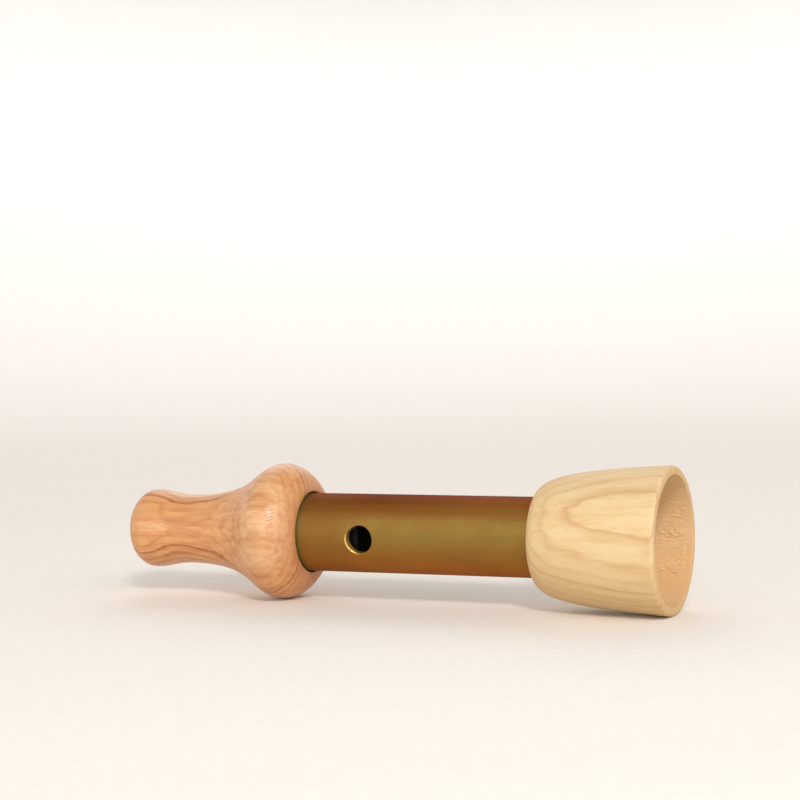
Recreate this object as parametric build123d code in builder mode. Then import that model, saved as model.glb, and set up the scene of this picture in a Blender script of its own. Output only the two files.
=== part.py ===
"""Whistle bird call: a turned mouthpiece, a brass tube with a window, a windway plug and a turned bell.

The call lies along X with the mouth end at -X and the bell at +X, and the floor is at Z = 0.
Its turned outlines are drawn in the plane of its axis, as stations from the mouth end and radii.
"""

import os
from math import sqrt

from build123d import *

# Driving dimensions in millimetres, with stations counted from the mouth end

# Drawn brass tube
tube_diameter = 16.0
tube_wall = 1.5
tube_shown = 50.0  # bare length between the two wooden ends

# Window drilled through the side of the tube
window_diameter = 5.5
window_deburr = 0.4
window_from_mouthpiece = 13.8  # from the mouthpiece's back to the window's centre
window_droop = 3.0  # degrees that the window looks below the horizontal as the call lies

# Windway plug, pressed into the tube behind a small wind chamber
wind_chamber = 4.0
windway_height = 1.0  # from the plug's flat to the tube's bore, at the middle
plug_behind_window = 1.5  # from the plug's end to the window's centre
plug_edge_break = 0.3

# Turned mouthpiece
mouthpiece_length = 41.0
mouthpiece_socket = 13.0
tip_flat_diameter = 6.8
bulb_diameter = 16.5
bulb_from_tip = 4.5
waist_diameter = 14.4
waist_from_tip = 13.0
bulge_diameter = 28.0
bulge_from_back = 6.4
back_lip = 0.7  # wood left around the tube at the mouthpiece's back
blow_hole_diameter = 5.0
blow_hole_round = 0.5

# Turned bell
bell_length = 27.0
bell_socket = 9.0
bell_base_lip = 1.2  # flat wood left around the tube at the bell's base
rim_diameter = 29.0
rim_wall = 1.7
rim_round = 0.8
mouth_round = 0.3
throat_length = 1.5

# Fit of the pieces
glue_gap = 0.05  # radial room for glue in the sockets and around the plug
socket_lead = 0.4  # chamfer at the mouth of each socket

# Eases of the turned curves, each a share of the run or rise that it shapes
dome_ease = 0.55
bulb_ease = 0.30
waist_ease_to_tip = 0.50
waist_ease_to_back = 0.74
bulge_ease = 0.26
back_ease_along = 0.51
back_ease_inward = 0.32
base_ease = 0.50
rim_ease = 0.75
rim_slope = 0.05  # rise of the bell's side per unit of length at the rim
bowl_ease_outward = 0.45
bowl_ease_along = 0.12
bowl_ease_rim = 0.55
bowl_slope = 0.10  # rise of the bowl's side per unit of length at the rim

# Radii and stations that follow from the driving dimensions
tube_radius = tube_diameter / 2
bore_radius = tube_radius - tube_wall
socket_radius = tube_radius + glue_gap
blow_radius = blow_hole_diameter / 2
rim_radius = rim_diameter / 2
bulge_radius = bulge_diameter / 2
mouth_radius = rim_radius - rim_wall
rim_corner_radius = rim_radius + rim_round * (rim_slope + sqrt(1 + rim_slope**2) - 1)  # before rounding

tube_start = mouthpiece_length - mouthpiece_socket
bell_start = mouthpiece_length + tube_shown
tube_end = bell_start + bell_socket
tube_length = tube_end - tube_start
call_length = bell_start + bell_length
window_station = mouthpiece_length + window_from_mouthpiece
plug_start = tube_start + wind_chamber
plug_end = window_station - plug_behind_window
bowl_start = tube_end + throat_length

# The axis runs along X at the height where the widest turning touches the floor
axis_height = max(rim_radius, bulge_radius)
mouth_end = Vector(-call_length / 2, 0, axis_height)
call_axis = Axis(mouth_end, (1, 0, 0))
outline_plane = Plane(origin=mouth_end, x_dir=(1, 0, 0), z_dir=(0, -1, 0))


def across(station, turned_to=(0, 0, 1)):
    """Plane square to the axis at a station, with its local X towards the given side."""
    return Plane(origin=mouth_end + Vector(station, 0, 0), x_dir=turned_to, z_dir=(1, 0, 0))


def eased(start, end, ease_start, ease_end):
    """Turned curve that leaves its start and meets its end by the given handle vectors."""
    first, last = Vector(*start), Vector(*end)
    return Bezier(first, first + Vector(*ease_start), last - Vector(*ease_end), last)


# Mouthpiece: blunt tip, bulb, waist and bulge over a blow hole and a socket for the tube
tip = (0, tip_flat_diameter / 2)
bulb = (bulb_from_tip, bulb_diameter / 2)
waist = (waist_from_tip, waist_diameter / 2)
bulge = (mouthpiece_length - bulge_from_back, bulge_radius)
back = (mouthpiece_length, tube_radius + back_lip)
tip_rise = bulb[1] - tip[1]
bulb_run = waist[0] - bulb[0]
bulge_run = bulge[0] - waist[0]
back_fall = bulge[1] - back[1]

with BuildPart() as mouthpiece:
    with BuildSketch(outline_plane):
        with BuildLine():
            Line((0, blow_radius), tip)
            eased(tip, bulb, (0, dome_ease * tip_rise), (dome_ease * bulb_from_tip, 0))
            eased(bulb, waist, (bulb_ease * bulb_run, 0), (waist_ease_to_tip * bulb_run, 0))
            eased(waist, bulge, (waist_ease_to_back * bulge_run, 0), (bulge_ease * bulge_run, 0))
            eased(bulge, back, (back_ease_along * bulge_from_back, 0), (0, -back_ease_inward * back_fall))
            Polyline(
                back,
                (mouthpiece_length, socket_radius + socket_lead),
                (mouthpiece_length - socket_lead, socket_radius),
                (tube_start, socket_radius),
                (tube_start, blow_radius),
                (0, blow_radius),
            )
        make_face()
    revolve(axis=call_axis)
    blow_hole_edge = mouthpiece.edges().group_by(Axis.X)[0].sort_by(SortBy.RADIUS)[0]
    fillet(blow_hole_edge, blow_hole_round)

# Tube: seated at the bottom of both sockets, with a deburred window in its side
window_side = Vector(0, -1, 0).rotate(Axis.X, window_droop)
window_axis = Axis(mouth_end + Vector(window_station, 0, 0), window_side)
window_plane = Plane(origin=window_axis.position, x_dir=(1, 0, 0), z_dir=window_side)

with BuildPart() as tube:
    with BuildSketch(across(tube_start)):
        Circle(tube_radius)
        Circle(bore_radius, mode=Mode.SUBTRACT)
    extrude(amount=tube_length)
    uncut_edges = tube.edges()
    with BuildSketch(window_plane):
        Circle(window_diameter / 2)
    extrude(amount=tube_diameter, mode=Mode.SUBTRACT)
    window_edges = tube.edges() - uncut_edges
    chamfer(window_edges.sort_by(window_axis)[-1], window_deburr)

# Windway plug: a cylinder in the bore with a flat towards the window
plug_radius = bore_radius - glue_gap
flat_height = bore_radius - windway_height

with BuildPart() as fipple_plug:
    with BuildSketch(across(plug_start, window_side)):
        Circle(plug_radius)
        with Locations((flat_height, 0)):
            Rectangle(tube_diameter, tube_diameter, align=(Align.MIN, Align.CENTER), mode=Mode.SUBTRACT)
    extrude(amount=plug_end - plug_start)
    lip_edge = fipple_plug.edges().filter_by(GeomType.LINE).group_by(Axis.X)[-1]
    chamfer(lip_edge, plug_edge_break)

# Bell: rounded base with a socket for the tube, a throat as wide as the bore and an open bowl
base = (bell_start, tube_radius + bell_base_lip)
rim = (call_length, rim_corner_radius)
mouth = (call_length, mouth_radius)
throat = (bowl_start, bore_radius)
side_handle = rim_ease * bell_length
bowl_depth = call_length - bowl_start
bowl_rise = mouth_radius - bore_radius
bowl_handle = bowl_ease_rim * bowl_depth

with BuildPart() as bell:
    with BuildSketch(outline_plane):
        with BuildLine():
            eased(base, rim, (0, base_ease * (rim[1] - base[1])), (side_handle, rim_slope * side_handle))
            Line(rim, mouth)
            eased(
                throat,
                mouth,
                (bowl_ease_along * bowl_depth, bowl_ease_outward * bowl_rise),
                (bowl_handle, bowl_slope * bowl_handle),
            )
            Polyline(
                throat,
                (tube_end, bore_radius),
                (tube_end, socket_radius),
                (bell_start + socket_lead, socket_radius),
                (bell_start, socket_radius + socket_lead),
                base,
            )
        make_face()
    revolve(axis=call_axis)
    mouth_edge, rim_edge = bell.edges().group_by(Axis.X)[-1].sort_by(SortBy.RADIUS)
    fillet(rim_edge, rim_round)
    fillet(mouth_edge, mouth_round)

pieces = {"mouthpiece": mouthpiece, "tube": tube, "fipple_plug": fipple_plug, "bell": bell}
os.makedirs("parts", exist_ok=True)
for name, piece in pieces.items():
    piece.part.label = name
    export_step(piece.part, f"parts/{name}.step")

print(f"call length {call_length:.1f} mm, tube {tube_length:.1f} mm, plug {plug_end - plug_start:.1f} mm")
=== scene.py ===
# %% [markdown]
# # A turned bird call
# The call is a small whistle: a turned wooden mouthpiece, a brass tube with a round window, a black plug
# inside the tube and a turned wooden bell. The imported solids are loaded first, in metres, and stay as the
# fixed frame. Every piece made here takes its place and its main sizes from them.

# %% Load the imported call
import math

import bmesh
import bpy
from mathutils import Matrix, Vector


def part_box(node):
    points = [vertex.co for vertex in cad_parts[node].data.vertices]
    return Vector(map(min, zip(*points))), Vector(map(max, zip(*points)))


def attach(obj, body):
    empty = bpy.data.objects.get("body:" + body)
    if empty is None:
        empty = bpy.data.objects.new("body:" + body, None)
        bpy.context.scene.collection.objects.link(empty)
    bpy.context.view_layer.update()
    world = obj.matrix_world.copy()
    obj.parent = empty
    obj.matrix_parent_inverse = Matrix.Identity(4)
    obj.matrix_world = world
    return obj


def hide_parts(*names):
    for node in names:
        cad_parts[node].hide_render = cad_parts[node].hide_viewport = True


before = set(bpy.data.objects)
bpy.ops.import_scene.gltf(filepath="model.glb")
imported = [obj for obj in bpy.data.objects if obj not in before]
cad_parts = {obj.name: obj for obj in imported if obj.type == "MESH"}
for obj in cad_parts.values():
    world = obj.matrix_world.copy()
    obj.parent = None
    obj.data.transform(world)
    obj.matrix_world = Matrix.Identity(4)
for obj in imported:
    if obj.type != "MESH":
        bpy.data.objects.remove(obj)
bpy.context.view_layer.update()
MM = 0.001
SCENE = bpy.context.scene
print("nodes:", sorted(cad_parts))

# %% [markdown]
# Stations along the call are counted in millimetres from the mouth end, because that is how a turner marks
# out a blank. The frame gives the ends of each piece, its largest radius and the height of the axis. The
# finishes use the frame's own X axis, so the two joints between wood and tube are kept on it as well.

# %% Measure the frame
mouthpiece_low, mouthpiece_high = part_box("mouthpiece")
tube_low, tube_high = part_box("tube")
bell_low, bell_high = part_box("bell")


def station(x):
    """Distance in millimetres from the mouth end to a place on the frame's X axis."""
    return (x - mouthpiece_low.x) / MM


MOUTH_X = mouthpiece_low.x
AXIS_Z = (tube_low.z + tube_high.z) / 2
MOUTHPIECE_END = station(mouthpiece_high.x)
TUBE_START = station(tube_low.x)
TUBE_END = station(tube_high.x)
BELL_START = station(bell_low.x)
CALL_LENGTH = station(bell_high.x)
TUBE_R = (tube_high.z - tube_low.z) / 2 / MM
BULGE_R = (mouthpiece_high.z - mouthpiece_low.z) / 2 / MM
RIM_R = (bell_high.z - bell_low.z) / 2 / MM
MOUTHPIECE_JOINT = MOUTH_X / MM + MOUTHPIECE_END
BELL_JOINT = MOUTH_X / MM + BELL_START
print(f"call {CALL_LENGTH:.2f} mm long, bulge {2 * BULGE_R:.2f} mm, rim {2 * RIM_R:.2f} mm across")

# %% [markdown]
# ## Finishes
# Each finish is a node material that reads Object coordinates. Wood and brass are patterns in space here,
# so a growth ring runs through a piece the way it runs through the log, and a turned surface cuts it into
# loops and arches by itself. A painted or unwrapped pattern would not meet at the back of a round piece.
# Such recipes take many nodes, so a few helpers first add a node, link it and hand on its result.

# %% Helpers for any node tree
def add(tree, kind, inputs=None, **settings):
    """A new node, with its settings, and with each input set to a value or linked to a socket."""
    node = tree.nodes.new(kind)
    for key, value in settings.items():
        setattr(node, key, value)
    for key, value in (inputs or {}).items():
        if isinstance(value, bpy.types.NodeSocket):
            tree.links.new(value, node.inputs[key])
        else:
            node.inputs[key].default_value = value
    return node


def calc(tree, operation, first, *others):
    """The result of one Math node, or of a row of them where there are more than two values."""
    for value in others or (0.0,):
        first = add(tree, "ShaderNodeMath", {0: first, 1: value}, operation=operation).outputs[0]
    return first


def plus(tree, *values):
    """The sum of two or more values."""
    return calc(tree, "ADD", *values)


def times(tree, *values):
    """The product of two or more values."""
    return calc(tree, "MULTIPLY", *values)


def diagonal(tree, first, second):
    """The length across a right angle with two given sides."""
    return calc(tree, "SQRT", plus(tree, calc(tree, "POWER", first, 2.0), calc(tree, "POWER", second, 2.0)))


def between(tree, value, low, high, start=0.0, end=1.0, ease="SMOOTHSTEP"):
    """A value that goes from start to end while the input goes from low to high."""
    inputs = {"Value": value, "From Min": low, "From Max": high, "To Min": start, "To Max": end}
    return add(tree, "ShaderNodeMapRange", inputs, interpolation_type=ease).outputs["Result"]


print("helpers for numbers ready")

# %% [markdown]
# Places and directions are vectors, so they get helpers of their own. The noise helper squeezes space by a
# different amount along each axis before it looks the noise up. That is what makes a grain: long along the
# piece and short across it.

# %% Helpers for places and directions
def parts(tree, vector):
    """The X, Y and Z of a vector."""
    return add(tree, "ShaderNodeSeparateXYZ", {0: vector}).outputs


def vector_calc(tree, operation, *vectors):
    """The result of one Vector Math node, which for some operations is a plain number."""
    node = add(tree, "ShaderNodeVectorMath", dict(enumerate(vectors)), operation=operation)
    return node.outputs["Value" if operation in ("DOT_PRODUCT", "DISTANCE", "LENGTH") else "Vector"]


def scaled(tree, vector, factor):
    """A vector made longer or shorter."""
    return add(tree, "ShaderNodeVectorMath", {0: vector, "Scale": factor}, operation="SCALE").outputs[0]


def stretched(tree, place, waves, detail=2.0, roughness=0.5, shift=(0.0, 0.0, 0.0)):
    """Noise from 0 to 1 with its own fineness along each axis, in waves per unit of length."""
    squeezed = vector_calc(tree, "MULTIPLY_ADD", place, waves, shift)
    inputs = {"Vector": squeezed, "Scale": 1.0, "Detail": detail, "Roughness": roughness}
    return add(tree, "ShaderNodeTexNoise", inputs).outputs["Fac"]


print("helpers for vectors ready")

# %% [markdown]
# The last helpers are for colour. Colours are written on the scale of a screen, where they are easy to
# judge, and turned into the linear values that a shader needs. Each finish starts from the same empty
# material, which knows its place on the call in millimetres from the axis.

# %% Helpers for finishes
def tone(red, green, blue):
    """A colour on the 0 to 255 scale of a screen, as the linear values that a shader takes."""
    def linear(value):
        share = value / 255
        return share / 12.92 if share <= 0.04045 else ((share + 0.055) / 1.055) ** 2.4
    return (linear(red), linear(green), linear(blue), 1.0)


def mix(tree, share, first, second):
    """Two colours mixed by a share."""
    return add(tree, "ShaderNodeMix", {0: share, 6: first, 7: second}, data_type="RGBA").outputs[2]


def stained(tree, colour, stain, mask, share):
    """A colour with a share of a stain wherever a mask says."""
    return mix(tree, times(tree, mask, share), colour, stain)


def ramp(tree, value, stops):
    """A colour ramp over 0 to 1, from pairs of a place and a colour."""
    node = add(tree, "ShaderNodeValToRGB", {"Fac": value})
    elements = node.color_ramp.elements
    elements[0].color = stops[0][1]
    elements[-1].color = stops[-1][1]
    for place, colour in stops[1:-1]:
        elements.new(place).color = colour
    return node.outputs[0]


def new_finish(name):
    """An empty node material with its shader, and its place on the call in millimetres from the axis."""
    material = bpy.data.materials.new(name)
    material.use_nodes = True
    tree = material.node_tree
    tree.nodes.clear()
    shader = add(tree, "ShaderNodeBsdfPrincipled")
    add(tree, "ShaderNodeOutputMaterial", {"Surface": shader.outputs[0]})
    spot = add(tree, "ShaderNodeTexCoord").outputs["Object"]
    lowered = add(tree, "ShaderNodeMapping", {"Vector": spot, "Location": (0.0, 0.0, -AXIS_Z)}).outputs[0]
    enlarged = {"Vector": lowered, "Scale": (1 / MM, 1 / MM, 1 / MM)}
    place = add(tree, "ShaderNodeMapping", enlarged).outputs[0]
    return material, tree, shader, place


def dress(tree, shader, colour, rough, relief, strength, depth):
    """Gives a shader its colour, its roughness and a fine relief of a depth in millimetres."""
    bump = {"Height": relief, "Strength": strength, "Distance": depth * MM}
    normal = add(tree, "ShaderNodeBump", bump).outputs[0]
    for name, socket in (("Base Color", colour), ("Roughness", rough), ("Normal", normal)):
        tree.links.new(socket, shader.inputs[name])


print("helpers for finishes ready")

# %% [markdown]
# ### Turned wood
# Both wooden ends were turned from straight blanks whose rings lie almost flat. A ring is a cylinder far
# larger than the call, so the distance from the pith, divided by the ring gap, counts the rings. A wave
# texture would give stripes too, but all of them alike. Two noises that are long along the grain move the
# count instead: one in slow waves, and one in a ragged edge, because cut fibres never end on a clean line.
# The count's whole part is the year and the rest is the season. Late wood is the dark line at the end of a
# year. A random number for each year makes some lines bolder, and one line in each piece stands out.

# %% Growth rings
def growth_rings(tree, grain, look):
    """The ring count at each spot, its depth past the call's axis and how ragged the ring is there."""
    along, across, outward = parts(tree, grain)
    radius = diagonal(tree, plus(tree, outward, look["pith_depth"]), across)
    radius = plus(tree, radius, times(tree, along, look["grain_slope"]))
    outer = calc(tree, "SUBTRACT", radius, look["pith_depth"])
    wander = stretched(tree, grain, look["wander_per_mm"], detail=2.0, roughness=0.6)
    wander = between(tree, wander, 0.0, 1.0, -look["ring_wander"], look["ring_wander"])
    ragged = stretched(tree, grain, look["ragged_per_mm"], detail=4.0, roughness=0.6)
    ragged = between(tree, ragged, 0.0, 1.0, -look["ring_ragged"], look["ring_ragged"])
    radius = plus(tree, radius, plus(tree, wander, ragged))
    rings = plus(tree, calc(tree, "DIVIDE", radius, look["ring_gap"]), look["ring_shift"])
    return rings, outer, ragged


def late_lines(tree, rings, look):
    """How strong the dark late wood is at each spot, and how far the spot is through its ring."""
    growth = calc(tree, "FRACT", rings)
    year = calc(tree, "FLOOR", rings)
    late = ramp(tree, growth, [(spot, (share, share, share, 1.0)) for spot, share in look["late_wood"]])
    chance = add(tree, "ShaderNodeTexWhiteNoise", {"W": year}, noise_dimensions="1D").outputs["Value"]
    boldness = between(tree, chance, 0.0, 1.0, look["faintest_ring"], 1.0)
    bold = times(tree, calc(tree, "COMPARE", year, look["bold_ring"]), look["bold_share"])
    return times(tree, late, plus(tree, boldness, bold)), growth


print("wood: rings and late lines")

# %% [markdown]
# The heartwood is warm. Towards the bark lies paler sapwood with soft pale bands, and its lines have a
# strength of their own. Each of these is a mix of two colours, by the depth in the log or by one more
# noise. Cut pores show as short flecks in the early wood, which a cell texture gives. End grain looks
# darker, and the way the surface faces tells where it is.

# %% Heartwood, sapwood, flecks and end grain
PATCH_PER_MM = (0.04, 0.07, 0.07)
SAP_WANDER = 1.5
FIBRE_PER_MM = (0.16, 4.5, 4.5)


def heart_and_sap(tree, place, grain, outer, ragged, line, look):
    """The wood's colour from its warm heart to its pale sapwood, with streaks, bands and late lines."""
    patch = stretched(tree, place, PATCH_PER_MM, detail=2.0, shift=(2.0, 9.0, 4.0))
    patch = between(tree, patch, 0.3, 0.7, -SAP_WANDER, SAP_WANDER)
    sap = plus(tree, outer, patch, times(tree, ragged, SAP_WANDER))
    sap = between(tree, sap, look["sap_start"], look["sap_end"])
    colour = mix(tree, sap, look["early_warm"], look["early"])
    streak = stretched(tree, grain, look["streak_per_mm"], detail=3.0, shift=(7.0, 3.0, 5.0))
    streak = between(tree, streak, 0.35, 0.75, 0.0, look["streak_share"])
    colour = mix(tree, streak, colour, look["streak"])
    band = stretched(tree, grain, look["band_per_mm"], detail=1.0, shift=(4.0, 1.0, 8.0))
    band = between(tree, band, 0.42, 0.62, 0.0, look["band_share"])
    colour = stained(tree, colour, look["band"], band, sap)
    strength = between(tree, sap, 0.0, 1.0, look["late_in_heart"], look["late_in_sap"])
    return stained(tree, colour, look["late"], line, strength)


def cut_pores(tree, grain, growth, look):
    """A mask of short flecks along the grain, most of them in the early wood."""
    cells = add(tree, "ShaderNodeMapping", {"Vector": grain, "Scale": look["fleck_per_mm"]}).outputs[0]
    fleck = add(tree, "ShaderNodeTexVoronoi", {"Vector": cells, "Scale": 1.0, "Randomness": 1.0})
    fleck = between(tree, fleck.outputs["Distance"], look["fleck_size"], look["fleck_size"] * 0.35)
    return times(tree, fleck, between(tree, growth, 0.55, 0.15, 0.2, 1.0))


def end_grain(tree):
    """A mask of the places where the surface cuts straight across the fibres."""
    facing = add(tree, "ShaderNodeNewGeometry").outputs["Normal"]
    return between(tree, calc(tree, "ABSOLUTE", parts(tree, facing)["X"]), 0.5, 1.0)


print("wood: heart, sap, flecks and end grain")

# %% [markdown]
# Three marks lie on the wood: painted shade in the crevice around the tube, a smear of old glue above it
# and a few fine nicks on the bulge. Use has left the glue and the nicks. They could be painted on, but a
# distance from a known place gives the same mark with nothing to unwrap.

# %% Crevice shade and marks of use on the wood
CREVICE_SHADE_WIDTH = 0.6
CREVICE_SHADE_SHARE = 0.85
CREVICE_SHADE_TONE = tone(52, 44, 26)
GLUE_SHARE = 0.6
GLUE_TONE = tone(176, 140, 58)
NICK_GAP = 0.65
NICK_SLANT = 0.25


def crevice_shade(tree, place, colour, joint_x):
    """Painted shade on the wood right beside the tube, where the crevice is."""
    x, y, z = parts(tree, place)
    # Painted shade: the wood within a fraction of a millimetre of the tube is darkened.
    beside = between(tree, diagonal(tree, y, z), TUBE_R + CREVICE_SHADE_WIDTH, TUBE_R + CREVICE_SHADE_WIDTH / 3)
    to_joint = calc(tree, "ABSOLUTE", calc(tree, "SUBTRACT", x, joint_x))
    crevice_shade_mask = times(tree, beside, between(tree, to_joint, 1.0, 0.6))
    return stained(tree, colour, CREVICE_SHADE_TONE, crevice_shade_mask, CREVICE_SHADE_SHARE)


def glue_smear(tree, place, colour, fibre, spot):
    """A thin smear of glue around a spot, drawn out by the fibres."""
    smear = vector_calc(tree, "DISTANCE", place, spot)
    smear = plus(tree, smear, between(tree, fibre, 0.3, 0.7, -0.4, 0.4))
    return mix(tree, between(tree, smear, 1.5, 0.6, 0.0, GLUE_SHARE), colour, GLUE_TONE)


def fine_nicks(tree, place, colour, spot, stain):
    """A short ladder of slanted nicks on the window's side, at a place along X and a height."""
    x, y, z = parts(tree, place)
    beside = calc(tree, "ABSOLUTE", calc(tree, "SUBTRACT", x, spot[0]))
    rise = calc(tree, "SUBTRACT", z, spot[1])
    lines = calc(tree, "PINGPONG", plus(tree, rise, times(tree, x, -NICK_SLANT)), NICK_GAP / 2)
    nick = times(
        tree,
        between(tree, lines, 0.12, 0.04),
        between(tree, beside, 0.6, 0.4),
        between(tree, calc(tree, "ABSOLUTE", rise), 1.3, 1.1),
        between(tree, y, 0.0, -4.0, 0.0, 0.7),
    )
    return mix(tree, nick, colour, stain)


print("wood: dirt, glue and nicks")

# %% [markdown]
# The recipe puts these layers on each other, from the growth of the tree to the marks of use. A table of
# looks makes two woods from one recipe. Torn wood is known only to the bell's own mesh, so the recipe reads
# it from attributes that the mesh carries. Fibres and pores also give the fine relief and the gloss.

# %% Recipe for turned wood
FIBRE_ROUGH = 0.12
END_ROUGH = 0.1
FIBRE_RELIEF = 0.6
FLECK_RELIEF = 0.5
LINE_RELIEF = 0.5
RELIEF_DEPTH = 0.05


def turned_wood(name, look):
    """Wood whose rings, fibres and flecks run through the whole piece, from a table of its looks."""
    material, tree, shader, place = new_finish(name)
    lean = look["ring_lean"] - math.pi / 2
    grain = add(tree, "ShaderNodeMapping", {"Vector": place, "Rotation": (lean, 0.0, 0.0)}).outputs[0]
    rings, outer, ragged = growth_rings(tree, grain, look)
    line, growth = late_lines(tree, rings, look)
    fibre = stretched(tree, grain, FIBRE_PER_MM, detail=4.0, roughness=0.6)
    fleck = cut_pores(tree, grain, growth, look)
    ends = end_grain(tree)

    colour = heart_and_sap(tree, place, grain, outer, ragged, line, look)
    colour = mix(tree, between(tree, fibre, 0.3, 0.75, 0.0, look["fibre_share"]), colour, look["fibre"])
    colour = stained(tree, colour, look["fleck"], fleck, look["fleck_share"])
    colour = stained(tree, colour, look["end"], ends, look["end_share"])
    # The bowl and torn marks from the bell's mesh carry painted shade and warm bounce light.
    for mark in ("bowl", "torn", "lifted"):
        if mark in look:
            mask = add(tree, "ShaderNodeAttribute", attribute_name=mark).outputs["Fac"]
            colour = stained(tree, colour, look[mark], mask, look[mark + "_share"])
    colour = crevice_shade(tree, place, colour, look["joint_x"])
    if "glue" in look:
        colour = glue_smear(tree, place, colour, fibre, look["glue"])
    if "nicks" in look:
        colour = fine_nicks(tree, place, colour, look["nicks"], look["fleck"])

    rough = plus(tree, times(tree, fibre, FIBRE_ROUGH), look["roughness"], times(tree, ends, END_ROUGH))
    relief = calc(tree, "SUBTRACT", times(tree, fibre, FIBRE_RELIEF), times(tree, fleck, FLECK_RELIEF))
    relief = plus(tree, relief, times(tree, line, LINE_RELIEF))
    dress(tree, shader, colour, rough, relief, look["bump"], RELIEF_DEPTH)
    shader.inputs["Specular IOR Level"].default_value = look["specular"]
    return material


print("wood: recipe ready")

# %% [markdown]
# The mouthpiece is a pinkish tan hardwood, polished by hands, with a soft dark line at each ring and many
# short flecks along the grain. Places are in millimetres, colours are those of a screen.

# %% Mouthpiece wood
mouthpiece_wood = turned_wood("mouthpiece_wood", {
    "early": tone(211, 165, 118),
    "early_warm": tone(217, 161, 107),
    "sap_start": 8.0,
    "sap_end": 13.0,
    "late": tone(150, 82, 42),
    "band": tone(226, 185, 141),
    "band_share": 0.45,
    "band_per_mm": (0.06, 0.36, 0.36),
    "late_in_heart": 0.75,
    "late_in_sap": 0.25,
    "late_wood": ((0.0, 0.3), (0.1, 0.0), (0.5, 0.1), (0.76, 0.5), (0.9, 1.0), (1.0, 0.5)),
    "faintest_ring": 0.4,
    "bold_ring": 26.0,
    "bold_share": 0.8,
    "streak": tone(182, 114, 68),
    "streak_share": 0.6,
    "streak_per_mm": (0.08, 0.9, 0.9),
    "fibre": tone(178, 110, 66),
    "fibre_share": 0.28,
    "fleck": tone(128, 66, 34),
    "fleck_share": 0.35,
    "fleck_per_mm": (0.3, 2.8, 2.8),
    "fleck_size": 0.28,
    "end": tone(171, 109, 66),
    "end_share": 0.4,
    "ring_lean": math.radians(16.0),
    "pith_depth": 30.0,
    "grain_slope": -0.02,
    "ring_wander": 1.0,
    "wander_per_mm": (0.04, 0.16, 0.16),
    "ring_ragged": 0.5,
    "ragged_per_mm": (0.16, 0.8, 0.8),
    "ring_gap": 1.4,
    "ring_shift": 0.61,
    "joint_x": MOUTHPIECE_JOINT,
    "nicks": (-21.7, 4.6),
    "glue": (-18.1, -5.2, 7.7),
    "roughness": 0.26,
    "specular": 0.4,
    "bump": 0.6,
})
print("wood:", mouthpiece_wood.name)

# %% [markdown]
# The bell is a pale yellow wood, drier and duller, with thin lines in tall arches. Its bowl gets a warmer,
# slightly darker tone, which is painted shade and warm bounce light inside the hollow. Torn places show
# warm raw wood, with painted shade deeper in their pits, and the bowl's lower side gets the same tone as
# painted warm bounce light. The slivers that stand up from them are the palest of all.

# %% Bell wood
bell_wood = turned_wood("bell_wood", {
    "early": tone(216, 193, 149),
    "early_warm": tone(211, 183, 136),
    "sap_start": 6.0,
    "sap_end": 12.0,
    "late": tone(176, 124, 78),
    "band": tone(224, 203, 163),
    "band_share": 0.4,
    "band_per_mm": (0.06, 0.4, 0.4),
    "late_in_heart": 0.38,
    "late_in_sap": 0.6,
    "late_wood": ((0.0, 0.3), (0.12, 0.0), (0.5, 0.05), (0.78, 0.55), (0.9, 1.0), (1.0, 0.4)),
    "faintest_ring": 0.5,
    "bold_ring": 22.0,
    "bold_share": 0.3,
    "streak": tone(206, 164, 114),
    "streak_share": 0.45,
    "streak_per_mm": (0.06, 0.7, 0.7),
    "fibre": tone(199, 160, 110),
    "fibre_share": 0.35,
    "fleck": tone(174, 124, 80),
    "fleck_share": 0.35,
    "fleck_per_mm": (0.4, 2.6, 2.6),
    "fleck_size": 0.24,
    "end": tone(200, 160, 112),
    "end_share": 0.25,
    # bowl: painted shade and warm bounce light inside the hollow. torn: raw wood with painted pit shade and
    # painted warm bounce light.
    "bowl": tone(222, 186, 142),
    "bowl_share": 0.5,
    "torn": tone(210, 156, 100),
    "torn_share": 0.48,
    "lifted": tone(244, 222, 182),
    "lifted_share": 0.7,
    "ring_lean": math.radians(25.3),
    "pith_depth": 14.0,
    "grain_slope": -0.035,
    "ring_wander": 0.6,
    "wander_per_mm": (0.05, 0.18, 0.18),
    "ring_ragged": 0.2,
    "ragged_per_mm": (0.12, 0.8, 0.8),
    "ring_gap": 1.15,
    "ring_shift": 0.44,
    "joint_x": BELL_JOINT,
    "roughness": 0.5,
    "specular": 0.3,
    "bump": 0.35,
})
print("wood:", bell_wood.name)

# %% [markdown]
# ### Aged brass
# The tube is drawn brass that has dulled with handling. Its colour lies in long bands over the height:
# olive along the middle, brown below and red-brown along the top. These bands are painted reflection, of a
# bright room in the middle, a floor below and a warm surround above. A colour ramp over the height gives
# the bands, and a noise that is long along the tube makes them wander. The bands open out towards the bell
# and on the far side, and the metal is browner near the mouthpiece, a painted reflection of the wooden
# bulge.

# %% Painted reflection bands
FAR_SIDE_SHARE = 0.55
BANDS_PER_MM = (0.008, 0.35, 0.35)
BAND_WANDER = 3.0
BANDS_OPEN_FROM = MOUTHPIECE_JOINT + 8.0
BANDS_OPEN_TO = MOUTHPIECE_JOINT + 48.0
# The metal near the mouthpiece is browner: a painted reflection of the wooden bulge.
BULGE_REFLECTION_FROM = MOUTHPIECE_JOINT + 5.0
BULGE_REFLECTION_TO = MOUTHPIECE_JOINT + 17.0
BULGE_REFLECTION_TONE = tone(140, 92, 42)
CLOUD_TONE = tone(130, 88, 38)
DRAW_TONE = tone(154, 116, 54)
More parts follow.
